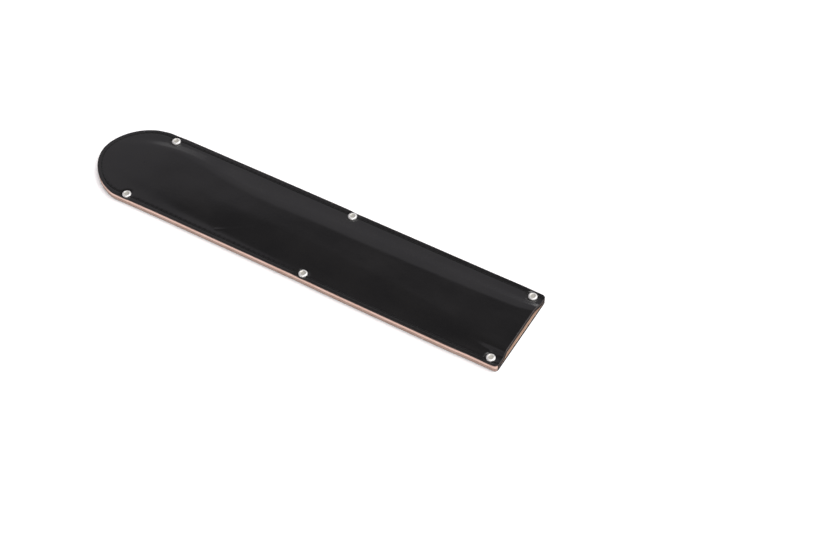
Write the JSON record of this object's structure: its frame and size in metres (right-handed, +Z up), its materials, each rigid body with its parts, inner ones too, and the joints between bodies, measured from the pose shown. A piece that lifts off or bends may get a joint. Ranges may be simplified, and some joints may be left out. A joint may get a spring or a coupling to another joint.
{
  "type": "knife blade guard",
  "caption": "Flat leather guard for the blade of a long kitchen knife, rounded at one end, open at the other, sewn and riveted round its edge.",
  "frame": {"origin": "middle of the footprint, on the surface that the guard lies on", "axes": "+X along the length towards the open mouth, +Y towards the side that holds the blade's spine, +Z up out of the front panel"},
  "size_m": [0.335, 0.068, 0.0102],
  "materials": {
    "black_leather": "smooth, semi-gloss",
    "thread": "waxed thread",
    "nickel": "polished nickel plate"
  },
  "bodies": {
    "root": {"front_panel": "black_leather", "back_panel": "black_leather", "front_stitching": "thread", "back_stitching": "thread", "rivet_cap_far_mouth": "nickel", "rivet_cap_far_middle": "nickel", "rivet_cap_far_tip": "nickel", "rivet_cap_near_tip": "nickel", "rivet_cap_near_middle": "nickel", "rivet_cap_near_mouth": "nickel", "rivet_post_far_mouth": "nickel", "rivet_post_far_middle": "nickel", "rivet_post_far_tip": "nickel", "rivet_post_near_tip": "nickel", "rivet_post_near_middle": "nickel", "rivet_post_near_mouth": "nickel"}
  },
  "joints": []
}
